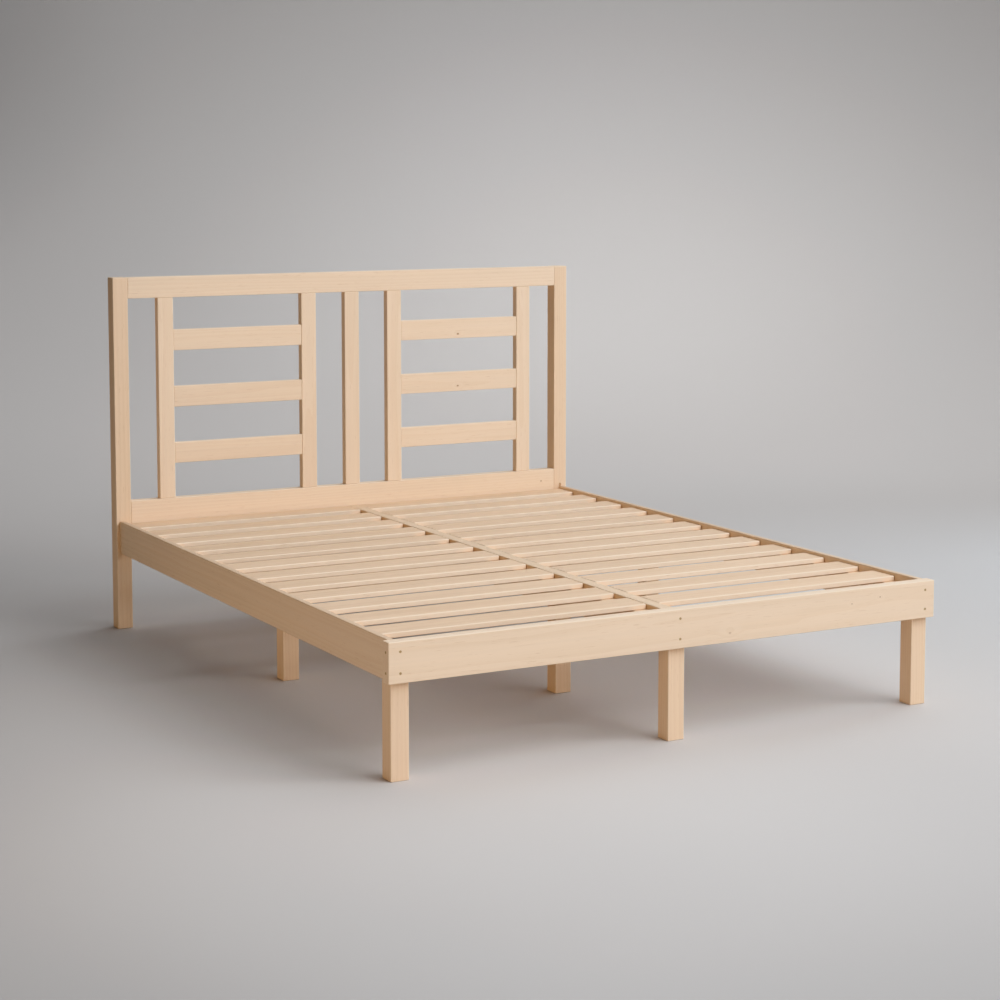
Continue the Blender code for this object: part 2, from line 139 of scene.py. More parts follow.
def add_node(tree: bpy.types.NodeTree, kind: str, inputs: dict[Any, Any] | None = None,
             out: int | str = 0, **settings: Any) -> NodeSocket:
    """Adds a node to a tree.

    Args:
        tree: the shader or geometry tree.
        kind: the node's type name.
        inputs: for each input's name or number, a value, or the socket that feeds it.
        out: the name or number of the output that is wanted.
        settings: the node's own properties.

    Returns:
        That output of the new node.
    """
    node = tree.nodes.new(kind)
    for name, value in settings.items():
        setattr(node, name, value)
    set_inputs(node, inputs or {})
    return node.outputs[out]


def new_material(name: str) -> tuple[Material, Node, partial]:
    """Makes a material.

    Args:
        name: its name.

    Returns:
        The material, its shader, and add_node for its tree.
    """
    material = bpy.data.materials.new(name)
    material.use_nodes = True
    tree = material.node_tree
    return material, tree.nodes["Principled BSDF"], partial(add_node, tree)


# Meshes

def new_object(name: str, data: ID) -> Object:
    """Links a mesh, lamp or camera into the scene as an object at the origin."""
    item = bpy.data.objects.new(name, data)
    bpy.context.scene.collection.objects.link(item)
    return item


def hang(data: ID, place: Point, ahead: Vector) -> Object:
    """Puts a lamp or a camera in its place.

    Args:
        data: the lamp or the camera.
        place: where it hangs.
        ahead: the direction that it looks in.

    Returns:
        Its object.
    """
    item = new_object(data.name, data)
    item.location = place
    item.rotation_mode = "QUATERNION"
    item.rotation_quaternion = ahead.to_track_quat("-Z", "Y")
    return item


def plain_mesh(shape: bmesh.types.BMesh, name: str) -> Mesh:
    """Turns a shape in the making into a mesh, and frees it."""
    mesh = bpy.data.meshes.new(name)
    shape.to_mesh(mesh)
    shape.free()
    return mesh


def merged_copy(node: Object, name: str) -> Object:
    """Copies a CAD node's shape, with its loose triangles joined and its flat faces made whole.

    Args:
        node: the CAD node.
        name: the name of the copy.

    Returns:
        A new object with the joined mesh.
    """
    shape = bmesh.new()
    shape.from_mesh(node.data)
    bmesh.ops.remove_doubles(shape, verts=shape.verts, dist=MERGE_DISTANCE)
    bmesh.ops.dissolve_limit(shape, angle_limit=SAME_FACE_ANGLE, use_dissolve_boundaries=False,
                             verts=shape.verts, edges=shape.edges)
    mesh = plain_mesh(shape, name)
    unused = ("custom_normal", "sharp_face", "UVMap")
    for extra in [a.name for a in mesh.attributes if a.name in unused]:
        mesh.attributes.remove(mesh.attributes[extra])
    return new_object(name, mesh)


def settled(item: Object) -> Object:
    """Turns an object's modifiers into plain mesh, and removes them.

    Args:
        item: the object, which keeps its name.

    Returns:
        The same object.
    """
    bpy.context.view_layer.update()
    graph = bpy.context.evaluated_depsgraph_get()
    mesh = bpy.data.meshes.new_from_object(item.evaluated_get(graph),
                                           preserve_all_data_layers=True, depsgraph=graph)
    old = item.data
    item.modifiers.clear()
    item.data = mesh
    bpy.data.meshes.remove(old)
    mesh.name = item.name
    return item


def carve(item: Object, shape: bmesh.types.BMesh, name: str, crossing: bool = False) -> None:
    """Cuts a shape out of an object.

    Args:
        item: the object.
        shape: what is cut out.
        name: the cut's name.
        crossing: whether parts of the shape cross each other.
    """
    cutter = new_object(name, plain_mesh(shape, name))
    cut = item.modifiers.new(name, "BOOLEAN")
    cut.operation = "DIFFERENCE"
    cut.solver = "EXACT"
    cut.use_self = crossing
    cut.object = cutter
    settled(item)
    bpy.data.objects.remove(cutter)


def turned(profile: list[Span], sides: int) -> tuple[bmesh.types.BMesh, list[Any]]:
    """Turns a profile about the upright axis, as a lathe does.

    Args:
        profile: the radius and height of each ring, from below upwards, or inwards along a floor.
        sides: how many sides it gets.

    Returns:
        The shape, and its rings of points: a ring on the axis is a single point.
    """
    shape = bmesh.new()
    rings = []
    for radius, height in profile:
        turns = [math.tau * side / sides for side in range(sides if radius else 1)]
        points = [(radius * math.cos(t), radius * math.sin(t), height) for t in turns]
        rings.append([shape.verts.new(point) for point in points])
    for lower, upper in zip(rings, rings[1:]):
        for side in range(sides):
            after = (side + 1) % sides
            corners = (lower[side % len(lower)], lower[after % len(lower)],
                       upper[after % len(upper)], upper[side % len(upper)])
            shape.faces.new(list(dict.fromkeys(corners)))
    return shape, rings


def ease_edges(item: Object, radius: float) -> Object:
    """Rounds a board's edges as sandpaper does, and keeps its faces flat to the light.

    Args:
        item: the board.
        radius: how far the rounding reaches from an edge.

    Returns:
        The same object, with plain mesh that marks the rounded edges for the painted edge highlight and
        shade.
    """
    bevel = item.modifiers.new("sanded edges", "BEVEL")
    bevel.width = radius
    bevel.segments = 2
    bevel.limit_method = "ANGLE"
    bevel.angle_limit = SHARP_ANGLE
    item.data.shade_smooth()
    item.modifiers.new("flat faces", "WEIGHTED_NORMAL").weight = 100
    settled(item)
    # Mark the rounded faces for the painted edge highlight and shade.
    slanted = [float(max(abs(part) for part in face.normal) < SQUARE_ON) for face in item.data.polygons]
    item.data.attributes.new(SANDED_EDGE, "FLOAT", "FACE").data.foreach_set("value", slanted)
    return item


# Finishes

class Axis(Enum):
    """The direction in which a board's grain runs."""

    ACROSS_BED = 0
    ALONG_BED = 1
    UPRIGHT = 2


class Cut(Enum):
    """How a board was sawn from the log: the values give the least and most distance of the pith."""

    FLAT = ((0.000, 0.020), (0.040, 0.090))
    RIFT = ((0.050, 0.090), (0.050, 0.090))


@dataclass(frozen=True)
class Knot:
    """A small knot in the wood.

    Args:
        place: where its middle lies, in metres.
        radius: its radius across the grain.
        grain: the direction that the fibres run in round it.
        faintness: how far it lies under the face, in radii, which pales it.
        drawn_out: its breadth across the grain, as a share of its length along it.
    """

    place: Point
    radius: float
    grain: Axis
    faintness: float = 0.0
    drawn_out: float = 0.7

    def stretch(self) -> Vector:
        """How many radii a metre is in each direction, with the knot drawn out along the grain."""
        scale = [1 / self.radius] * 3
        scale[self.grain.value] *= self.drawn_out
        return Vector(scale)


@dataclass(frozen=True)
class PineFinish:
    """Scots pine, planed, sanded and left pale under a thin matt clear coat.

    The wood is a solid pattern of growth rings round a pith that lies outside each board, so that faces,
    edges and ends agree. It is read from the board's own attributes. The scales count a pattern's
    features in a metre, along the grain and across it.
    """

    name: str
    early_wood: str
    late_wood: str
    slot: str = "planed_pine"
    ring_spacing: float = 0.0085
    ring_strength: float = 0.15
    late_wood_span: Span = (0.25, 0.95)
    bend: float = 0.026
    bend_scale: Point = (1.1, 16, 16)
    streak_swing: float = 0.09
    streak_scale: Point = (2.6, 150, 150)
    cloud_swing: float = 0.10
    cloud_scale: Point = (1.6, 11, 11)
    board_swing: float = 0.022
    # A painted highlight on rounded edges and marked faces where this colour is paler than the wood, and
    # painted shade where it is darker.
    edge_wood: str = "#FBE4CB"
    edge_share: float = 0.5
    roughness: Span = (0.44, 0.60)
    canal_scale: Point = (24, 620, 620)
    canal_span: Span = (0.68, 0.76)
    canal_share: float = 0.35
    knots: tuple[Knot, ...] = ()
    knot_rim: str = "#A87A52"
    knot_heart: str = "#C09469"
    knot_push: float = 0.012
    knot_push_span: Span = (0.5, 5.0)
    knot_share: float = 0.85
    knot_span: Span = (0.85, 1.5)

    def knot_distance(self, add: partial) -> NodeSocket | None:
        """The distance to the nearest knot, counted in its radii.

        Args:
            add: add_node for the material's tree.

        Returns:
            The socket with that distance, or None where the finish has no knots.
        """
        nearest = None
        place = add("ShaderNodeTexCoord", out="Object") if self.knots else None
        for knot in self.knots:
            stretch = knot.stretch()
            offset = [-p * s for p, s in zip(knot.place, stretch)]
            moved = add("ShaderNodeVectorMath", {0: place, 1: stretch, 2: offset},
                        operation="MULTIPLY_ADD")
            length = add("ShaderNodeVectorMath", {0: moved}, out=1, operation="LENGTH")
            if knot.faintness:
                length = add("ShaderNodeMath", {0: length, 1: knot.faintness}, operation="ADD")
            if nearest is None:
                nearest = length
            else:
                nearest = add("ShaderNodeMath", {0: nearest, 1: length}, operation="MINIMUM")
        return nearest

    def fibres(self, add: partial, place: NodeSocket, distance: NodeSocket | None) -> NodeSocket:
        """Bends the fibres slowly, over about a metre along the board, and pushes them aside at knots.

        Args:
            add: add_node for the material's tree.
            place: the place in the log.
            distance: the distance to the nearest knot, or None.

        Returns:
            The socket with the bent place.
        """
        slow = add("ShaderNodeMapping", {"Vector": place, "Scale": self.bend_scale})
        noise = add("ShaderNodeTexNoise", {"Vector": slow, "Scale": 1.0, "Detail": 2.0}, out="Color")
        centred = add("ShaderNodeVectorMath", {0: noise, 1: (0.5, 0.5, 0.5)}, operation="SUBTRACT")
        bent = add("ShaderNodeVectorMath", {0: centred, 1: (0.0, self.bend, self.bend), 2: place},
                   operation="MULTIPLY_ADD")
        if distance is None:
            return bent
        pushed = add("ShaderNodeMapRange", {
            "Value": distance, "From Min": self.knot_push_span[0], "From Max": self.knot_push_span[1],
            "To Min": self.knot_push, "To Max": 0.0}, interpolation_type="SMOOTHSTEP")
        aside = add("ShaderNodeCombineXYZ", {"Z": pushed})
        return add("ShaderNodeVectorMath", {0: bent, 1: aside})

    def with_knots(self, add: partial, colour: NodeSocket, distance: NodeSocket) -> NodeSocket:
        """The wood's colour with its knots, each a dark rim round a paler heart.

        Args:
            add: add_node for the material's tree.
            colour: the clear wood's colour.
            distance: the distance to the nearest knot.

        Returns:
            The socket with the colour.
        """
        tint = add("ShaderNodeValToRGB", {0: distance})
        marks = tint.node.color_ramp.elements
        inner, outer = marks
        inner.position, outer.position = 0.0, 0.95
        inner.color = outer.color = linear(self.knot_rim)
        marks.new(0.35).color = linear(self.knot_heart)
        shown = add("ShaderNodeMapRange", {
            "Value": distance, "From Min": self.knot_span[0], "From Max": self.knot_span[1],
            "To Min": self.knot_share, "To Max": 0.0}, interpolation_type="SMOOTHSTEP")
        return add("ShaderNodeMix", {0: shown, 6: colour, 7: tint}, out=2, data_type="RGBA")

    @cache
    def material(self) -> Material:
        """Makes the wood's material, once.

        Returns:
            The material, which reads the attributes that mark_grain writes.
        """
        material, shader, add = new_material(self.name)
        place = add("ShaderNodeAttribute", out="Vector", attribute_name=GRAIN_PLACE)
        tone = add("ShaderNodeAttribute", out="Fac", attribute_name=BOARD_TONE)
        edge = add("ShaderNodeAttribute", out="Fac", attribute_name=SANDED_EDGE)
        distance = self.knot_distance(add)

        # Growth rings: pale early wood that darkens into a narrow line of late wood, 8.5 mm apart,
        # which is wide for pine, so that the lines show where a pixel covers 3 mm.
        rings = add("ShaderNodeTexWave",
                    {"Vector": self.fibres(add, place, distance),
                     "Scale": math.tau / (WAVE_RADIANS * self.ring_spacing)},
                    wave_type="RINGS", rings_direction="X", wave_profile="SAW", out="Fac")
        late = add("ShaderNodeMapRange", {
            "Value": rings, "From Min": self.late_wood_span[0], "From Max": self.late_wood_span[1],
            "To Max": self.ring_strength}, interpolation_type="SMOOTHSTEP")
        wood = add("ShaderNodeMix", {0: late, 6: linear(self.early_wood), 7: linear(self.late_wood)},
                   out=2, data_type="RGBA")

        # Rounded edges and marked flat faces get a painted highlight where the edge colour is paler than
        # the wood, and painted shade where it is darker.
        bared = add("ShaderNodeMath", {0: edge, 1: self.edge_share}, operation="MULTIPLY")
        wood = add("ShaderNodeMix", {0: bared, 6: wood, 7: linear(self.edge_wood)},
                   out=2, data_type="RGBA")

        # Fibre streaks 7 mm wide and finer, clouds of tone 100 mm wide, and a tone for each board.
        fine = add("ShaderNodeMapping", {"Vector": place, "Scale": self.streak_scale})
        streaks = add("ShaderNodeTexNoise", {
            "Vector": fine, "Scale": 1.0, "Detail": 5.0, "Roughness": 0.62})
        wide = add("ShaderNodeMapping", {"Vector": place, "Scale": self.cloud_scale})
        clouds = add("ShaderNodeTexNoise", {"Vector": wide, "Scale": 1.0, "Detail": 2.0})
        level = 1 - (self.streak_swing + self.cloud_swing) / 2
        for pattern, swing in ((streaks, self.streak_swing), (clouds, self.cloud_swing),
                               (tone, self.board_swing)):
            level = add("ShaderNodeMath", {0: pattern, 1: swing, 2: level}, operation="MULTIPLY_ADD")
        colour = add("ShaderNodeHueSaturation", {"Color": wood, "Value": level})

        # Resin canals: short fine dark strokes along the grain.
        narrow = add("ShaderNodeMapping", {"Vector": place, "Scale": self.canal_scale})
        canals = add("ShaderNodeTexNoise", {"Vector": narrow, "Scale": 1.0, "Detail": 1.0})
        stroke = add("ShaderNodeMapRange", {
            "Value": canals, "From Min": self.canal_span[0], "From Max": self.canal_span[1],
            "To Max": self.canal_share})
        colour = add("ShaderNodeMix", {0: stroke, 6: colour, 7: linear(self.knot_heart)},
                     out=2, data_type="RGBA")
        if distance is not None:
            colour = self.with_knots(add, colour, distance)

        # The thin coat follows the fibres: a little gloss, and a relief that only a raking light shows.
        gloss = add("ShaderNodeMapRange", {"Value": streaks, "To Min": self.roughness[0],
                                           "To Max": self.roughness[1]})
        relief = add("ShaderNodeMath", {0: late, 1: 0.5, 2: streaks}, operation="MULTIPLY_ADD")
        bump = add("ShaderNodeBump", {"Height": relief, "Strength": 0.25, "Distance": 0.0003})
        set_inputs(shader, {"Base Color": colour, "Roughness": gloss, "Normal": bump,
                            "IOR": 1.48, "Specular IOR Level": 0.35})
        return material


@dataclass(frozen=True)
class PlatedSteelFinish:
    """Steel with a thin zinc coat, dipped in a passivating bath that clouds it."""

    name: str
    bright: str
    dull: str
    slot: str = "zinc_plated_steel"
    cloud_size: float = 0.004
    roughness: Span = (0.30, 0.48)

    @cache
    def material(self) -> Material:
        """Makes the metal's material, once.

        Returns:
            A metal with soft clouds of two tints, which read Object coordinates.
        """
        material, shader, add = new_material(self.name)
        place = add("ShaderNodeTexCoord", out="Object")
        clouds = add("ShaderNodeTexNoise", {
            "Vector": place, "Scale": 1 / self.cloud_size, "Detail": 3.0})
        tint = add("ShaderNodeMix", {0: clouds, 6: linear(self.bright), 7: linear(self.dull)},
                   out=2, data_type="RGBA")
        gloss = add("ShaderNodeMapRange", {"Value": clouds, "To Min": self.roughness[0],
                                           "To Max": self.roughness[1]})
        set_inputs(shader, {"Base Color": tint, "Roughness": gloss, "Metallic": 1.0})
        return material


@dataclass(frozen=True)
class PaperShade:
    """A soft round patch of painted shade on the backdrop's paper; where its depth is negative it is a
    patch of painted light.

    Args:
        place: its middle, in metres.
        radius: where it has faded away, in metres.
        depth: the share of the paper's tone that it takes away in its middle.
        core: the share of its radius out to which it keeps its whole depth.
    """

    place: Point
    radius: float
    depth: float
    core: float = 0.35


@dataclass(frozen=True)
class PaperBackdropFinish:
    """Matt pale studio paper, with a painted pool of light behind the bed, painted shade towards the
    left, and soft patches of painted shade.
    """

    name: str = "pale_studio_paper"
    # The paper's tone in a painted pool of light round the patch, and the painted shade that it fades to
    # over the reach.
    middle: str = "#D6CDC6"
    edge: str = "#C7BFB9"
    patch: Point = (2.4, 4.0, 0.2)
    reach: Span = (1.0, 6.0)
    # Painted shade that greys the paper towards -X, between the two places across.
    grey: str = "#918B86"
    grey_from: Span = (-2.8, -7.0)
    # Painted shade at the left, on the near floor and at the far back of the sweep, and one patch of
    # painted light just in front of the foot.
    shades: tuple[PaperShade, ...] = (
        PaperShade((-3.20, -1.82, 0.0), 2.4, 0.22),
        PaperShade((-0.62, -4.58, 0.0), 3.6, 0.22),
        PaperShade((-3.23, 1.55, 0.0), 3.3, 0.26),
        PaperShade((-0.70, 9.68, 2.6), 3.15, 0.22),
        PaperShade((-0.94, -1.72, 0.0), 1.5, -0.12),
    )

    def material(self) -> Material:
        """Makes the backdrop's material.

        Returns:
            A matt material whose painted light and shade follow the distance from the patch, the place
            across and the shade patches.
        """
        material, shader, add = new_material(self.name)
        place = add("ShaderNodeTexCoord", out="Object")
        away = add("ShaderNodeVectorMath", {0: place, 1: self.patch}, out=1, operation="DISTANCE")
        across = add("ShaderNodeSeparateXYZ", {0: place})
        tint = linear(self.middle)
        # Painted light round the patch, and painted shade towards -X.
        for measure, span, paper in ((away, self.reach, self.edge), (across, self.grey_from, self.grey)):
            share = add("ShaderNodeMapRange", {
                "Value": measure, "From Min": span[0], "From Max": span[1]},
                interpolation_type="SMOOTHSTEP")
            tint = add("ShaderNodeMix", {0: share, 6: tint, 7: linear(paper)}, out=2, data_type="RGBA")
        # Each patch darkens the paper as painted shade, and paints light where its depth is negative.
        for shade in self.shades:
            off = add("ShaderNodeVectorMath", {0: place, 1: shade.place}, out=1, operation="DISTANCE")
            level = add("ShaderNodeMapRange", {
                "Value": off, "From Min": shade.core * shade.radius, "From Max": shade.radius,
                "To Min": 1 - shade.depth, "To Max": 1.0}, interpolation_type="SMOOTHSTEP")
            tint = add("ShaderNodeHueSaturation", {"Color": tint, "Value": level})
        set_inputs(shader, {"Base Color": tint, "Roughness": 0.9, "Specular IOR Level": 0.1})
        return material


KNOTS = (
    Knot((0.404, 0.994, 0.914), 0.0044, Axis.ACROSS_BED, 0.45),
    Knot((0.403, 0.994, 0.733), 0.0042, Axis.ACROSS_BED, 0.50),
    Knot((0.814, 0.992, 0.357), 0.0042, Axis.UPRIGHT, 0.1),
    Knot((0.736, 0.992, 0.375), 0.0034, Axis.ACROSS_BED, 0.5),
    Knot((0.156, -1.042, 0.273), 0.0100, Axis.ACROSS_BED, 1.05),
    Knot((0.556, -1.042, 0.312), 0.0028, Axis.ACROSS_BED, 0.65),
    Knot((0.652, -1.042, 0.322), 0.0028, Axis.ACROSS_BED, 0.6),
    Knot((-0.828, -0.016, 0.297), 0.0090, Axis.ALONG_BED, 0.95),
)

PLANED = PineFinish("planed_scots_pine", "#F3D8BC", "#DFBB95", knots=KNOTS)
WARM = PineFinish("planed_pine_nearer_the_heart", "#F1D2B3", "#DDB68E", knots=KNOTS)
CORE = PineFinish("planed_heartwood_pine", "#E9CBAC", "#D6B088")
# The side rails carry painted shade on their rounded edges and on their top and bottom faces.
RAIL = PineFinish("planed_pine_with_dark_edges", "#F3D8BC", "#DFBB95", edge_wood="#D8B797",
                  edge_share=0.9)
# The slats carry a strong painted highlight on their rounded edges and on their front and back faces.
SLAT = PineFinish("sanded_slat_pine", "#E9C8A8", "#D5AD84", "slat_pine", ring_strength=0.22,
                  edge_share=0.9, roughness=(0.50, 0.66))
BOLT = PlatedSteelFinish("bright_zinc_plate", "#CFCFCB", "#A8A8A4")
SCREW = PlatedSteelFinish("yellow_passivated_zinc", "#E3CBA8", "#C4A882", roughness=(0.60, 0.75))

Finish = PineFinish | PlatedSteelFinish


# Boards

def mark_grain(mesh: Mesh, name: str, cut: Cut) -> None:
    """Writes each board's place in its log, and its own tone, onto the mesh for the pine finish.

    Args:
        mesh: one board, or several with their numbers in an attribute.
        name: the piece's name, from which its numbers are drawn.
        cut: how the boards were sawn.
    """
    count = len(mesh.vertices)
    points = np.empty(count * 3)
    mesh.vertices.foreach_get("co", points)
    points = points.reshape(-1, 3)
    numbers = np.zeros(count)
    if BOARD_NUMBER in mesh.attributes:
        mesh.attributes[BOARD_NUMBER].data.foreach_get("value", numbers)
    places = np.zeros((count, 3))
    tones = np.zeros(count)
    for number in np.unique(np.round(numbers)):
        draw = random.Random(f"{name} {int(number)}")
        here = np.round(numbers) == number
        low, high = points[here].min(0), points[here].max(0)
        order = np.argsort(high - low)[::-1]
        local = (points[here] - (low + high) / 2)[:, order]
        aside, behind = (draw.uniform(*span) * draw.choice((-1, 1)) for span in cut.value)
        local += np.array([draw.uniform(0, LOG_LENGTH), aside, behind])
        places[here] = local
        tones[here] = draw.uniform(-1, 1)
    place = mesh.attributes.new(GRAIN_PLACE, "FLOAT_VECTOR", "POINT")
    place.data.foreach_set("vector", places.ravel())
    mesh.attributes.new(BOARD_TONE, "FLOAT", "POINT").data.foreach_set("value", tones)


def set_finish(mesh: Mesh, finish: Finish) -> None:
    """Gives a mesh one finish in place of what it has."""
    mesh.materials.clear()
    mesh.materials.append(finish.material())


def place_piece(item: Object, finish: Finish, nodes: list[str]) -> None:
    """Dresses a shaped piece, hands it to the frame, and reports it.

    Args:
        item: the piece.
        finish: its finish, with the record's material slot.
        nodes: the CAD nodes that it stands for.
    """
    set_finish(item.data, finish)
    slot = finish.slot
    if nodes:
        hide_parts(*nodes)
    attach(item, "root")
    log.info("%s: %d faces, %s", item.name, len(item.data.polygons), slot)


@dataclass
class Joinery:
    """What turns CAD nodes into finished boards.

    Args:
        nodes: the CAD nodes by name.
        rows: the tree that repeats boards.
        screws: what cuts the seats of screws.
        edge_radius: how far a board's sanded edges reach.
        bared_share: how much of the painted edge highlight and shade a marked flat face takes.
    """

    nodes: dict[str, Object]
    rows: NodeTree
    screws: CountersunkScrews
    edge_radius: float = 0.0008
    bared_share: float = 0.8

    def shaped(self, node: str, name: str, edge_radius: float, bared: Axis | None = None) -> Object:
        """Shapes a board from a CAD node.

        Args:
            node: the CAD node.
            name: the board's name.
            edge_radius: how far its sanded edges reach.
            bared: the axis along which flat faces are marked for the painted edge highlight and shade,
                too.

        Returns:
            The board, with its edges rounded.
        """
        item = ease_edges(merged_copy(self.nodes[node], name), edge_radius)
        # Flat faces square to that axis take the painted edge highlight and shade too.
        if bared is not None:
            marks = item.data.attributes[SANDED_EDGE].data
            for face in item.data.polygons:
                if abs(face.normal[bared.value]) > SQUARE_ON:
                    marks[face.index].value = self.bared_share
        return item

    def dress(self, item: Object, nodes: list[str], finish: Finish, cut: Cut) -> Object:
        """Gives a board its grain and finish, and puts it in its nodes' place.

        Args:
            item: the shaped board or boards.
            nodes: the CAD nodes that it replaces.
            finish: its finish.
            cut: how it was sawn.

        Returns:
            The same object.
        """
        mark_grain(item.data, item.name, cut)
        place_piece(item, finish, nodes)
        return item

    def board(self, node: str, finish: Finish, cut: Cut = Cut.FLAT, bared: Axis | None = None) -> Object:
        """A single board in place of one CAD node."""
        item = self.shaped(node, node + "_wood", self.edge_radius, bared)
        return self.dress(item, [node], finish, cut)


# Repeated boards

@dataclass
class NodeTree:
    """A geometry tree and its named inputs."""

    name: str
    sockets: dict[str, str]
    tree: bpy.types.GeometryNodeTree = field(init=False)
    group_input: Node = field(init=False)

    def __post_init__(self) -> None:
        """Makes the tree with its inputs and its one output."""
        self.tree = bpy.data.node_groups.new(self.name, "GeometryNodeTree")
        for label, kind in self.sockets.items():
            self.tree.interface.new_socket(name=label, in_out="INPUT", socket_type=kind)
        self.tree.interface.new_socket(name="Geometry", in_out="OUTPUT",
                                       socket_type="NodeSocketGeometry")
        self.group_input = self.tree.nodes.new("NodeGroupInput")

    def read(self, label: str) -> NodeSocket:
        """The socket of a named input."""
        return self.group_input.outputs[label]

    def add(self, kind: str, inputs: dict[Any, Any] | None = None, **settings: Any) -> NodeSocket:
        """Adds a node to this tree."""
        return add_node(self.tree, kind, inputs, **settings)

    def close(self, shape: NodeSocket) -> None:
        """Ends the tree: the instances become real mesh, and the finish is set."""
        real = self.add("GeometryNodeRealizeInstances", {"Geometry": shape})
        dressed = self.add("GeometryNodeSetMaterial", {
            "Geometry": real, "Material": self.read("Finish")})
        set_inputs(self.tree.nodes.new("NodeGroupOutput"), {0: dressed})

    def run(self, item: Object, values: dict[str, Any]) -> Object:
        """Runs the tree on an object and leaves plain mesh.

        Args:
            item: the object that takes the tree's result.
            values: a value for each named input, apart from the geometry that comes in.

        Returns:
            The same object.
        """
        modifier = item.modifiers.new(self.name, "NODES")
        modifier.node_group = self.tree
        for entry in self.tree.interface.items_tree:
            if entry.item_type == "SOCKET" and entry.in_out == "INPUT" and entry.name in values:
                modifier[entry.identifier] = values[entry.name]
        return settled(item)


def boards_in_a_row() -> NodeTree:
    """Makes the tree that repeats one board along a line.

    Returns:
        The tree, with the board, the count, the step, a small wander and the finish as inputs.
    """
    rows = NodeTree("boards_in_a_row", {
        "Board": "NodeSocketObject",
        "Count": "NodeSocketInt",
        "Step": "NodeSocketVector",
        "Wander": "NodeSocketVector",
        "Seed": "NodeSocketInt",
        "Finish": "NodeSocketMaterial",
    })
    add, read = rows.add, rows.read
    line = add("GeometryNodeMeshLine", {"Count": read("Count"), "Offset": read("Step")}, mode="OFFSET")
    back = add("ShaderNodeVectorMath", {0: read("Wander"), 1: (-1, -1, -1)}, operation="MULTIPLY")
    shift = add("FunctionNodeRandomValue", {0: back, 1: read("Wander"), "Seed": read("Seed")},
                data_type="FLOAT_VECTOR")
    points = add("GeometryNodeSetPosition", {"Geometry": line, "Offset": shift})
    board = add("GeometryNodeObjectInfo", {"Object": read("Board"), "As Instance": True}, out="Geometry")
    placed = add("GeometryNodeInstanceOnPoints", {"Points": points, "Instance": board})
    numbered = add("GeometryNodeStoreNamedAttribute",
                   {"Geometry": placed, "Name": BOARD_NUMBER, "Value": add("GeometryNodeInputIndex")},
                   data_type="FLOAT", domain="INSTANCE")
    rows.close(numbered)
    return rows


@dataclass
class BoardRow:
    """Equal boards at an even pitch, such as a field of bed slats.

    Args:
        name: the piece's name.
        nodes: the CAD nodes of the boards, in order along the row.
        seed: the number that the small wander starts from.
        wander: how far a board may lie from its even place, in metres.
        cut: how the boards were sawn.
        edge_radius: how far their sanded edges reach.
        bared: the axis along which their narrow faces look, which take the painted edge highlight.
    """

    name: str
    nodes: list[str]
    seed: int
    wander: Point = (0.0, 0.0, 0.0)
    cut: Cut = Cut.FLAT
    edge_radius: float = 0.0008
    bared: Axis | None = None

    def build(self, joinery: Joinery, finish: Finish) -> Object:
        """Repeats the first board over the whole row.

        Args:
            joinery: what shapes, repeats and dresses boards.
            finish: their finish.

        Returns:
            One object with all the boards.
        """
        first = joinery.shaped(self.nodes[0], self.name + "_pattern", self.edge_radius, self.bared)
        start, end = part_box(self.nodes[0])[0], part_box(self.nodes[-1])[0]
        step = (end - start) / (len(self.nodes) - 1)
        row = joinery.rows.run(new_object(self.name, bpy.data.meshes.new(self.name)), {
            "Board": first,
            "Count": len(self.nodes),
            "Step": step,
            "Wander": self.wander,
            "Seed": self.seed,
            "Finish": finish.material(),
        })
        bpy.data.objects.remove(first)
        return joinery.dress(row, self.nodes, finish, self.cut)


# Screws

@dataclass(frozen=True)
class ScrewSite:
    """The middle of a screw's place on a face, and the way out of that face."""

    place: Point
    facing: Point


